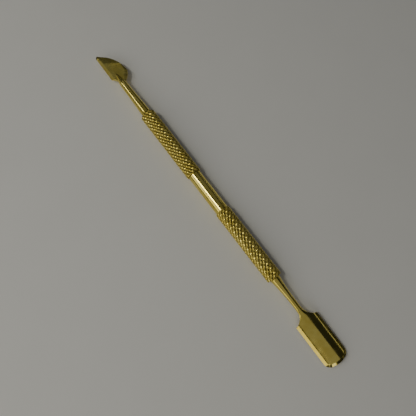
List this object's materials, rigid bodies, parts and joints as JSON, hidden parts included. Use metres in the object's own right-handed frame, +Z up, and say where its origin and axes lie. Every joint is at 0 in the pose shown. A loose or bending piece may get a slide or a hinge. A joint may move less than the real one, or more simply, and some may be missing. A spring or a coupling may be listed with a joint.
{
  "type": "cuticle pusher",
  "caption": "Slim dual-ended metal cuticle pusher with a broad curved pusher, a knife-shaped scraper, knurled grips and a smooth waist.",
  "frame": {"origin": "middle of the smooth waist, on the tool's axis", "axes": "+X along the tool towards the pusher spoon, +Z up with the spoon's convex side up, +Y towards the scraper's blunt back"},
  "size_m": [0.1353, 0.0086, 0.0054],
  "materials": {
    "polished_gold": "mirror-polished gold plating on steel, with fine handling scratches",
    "knurled_gold": "diamond knurl, gold-plated, bright crests and darker grooves",
    "spoon_gold": "bright gold plating over a finely ground curved face",
    "scraper_gold": "gold plating over ground bevels with fine grinding lines",
    "braze_gold": "gold-plated braze fillet, slightly uneven",
    "bush_steel": "turned steel, hidden inside the grip"
  },
  "bodies": {
    "root": {"centre_barrel": "polished_gold", "pusher_grip": "knurled_gold", "scraper_grip": "knurled_gold", "pusher_end_bush": "bush_steel", "scraper_end_bush": "bush_steel", "pusher_blade": "spoon_gold", "scraper_blade": "scraper_gold", "pusher_braze_ring": "braze_gold", "scraper_braze_ring": "braze_gold"}
  },
  "joints": []
}
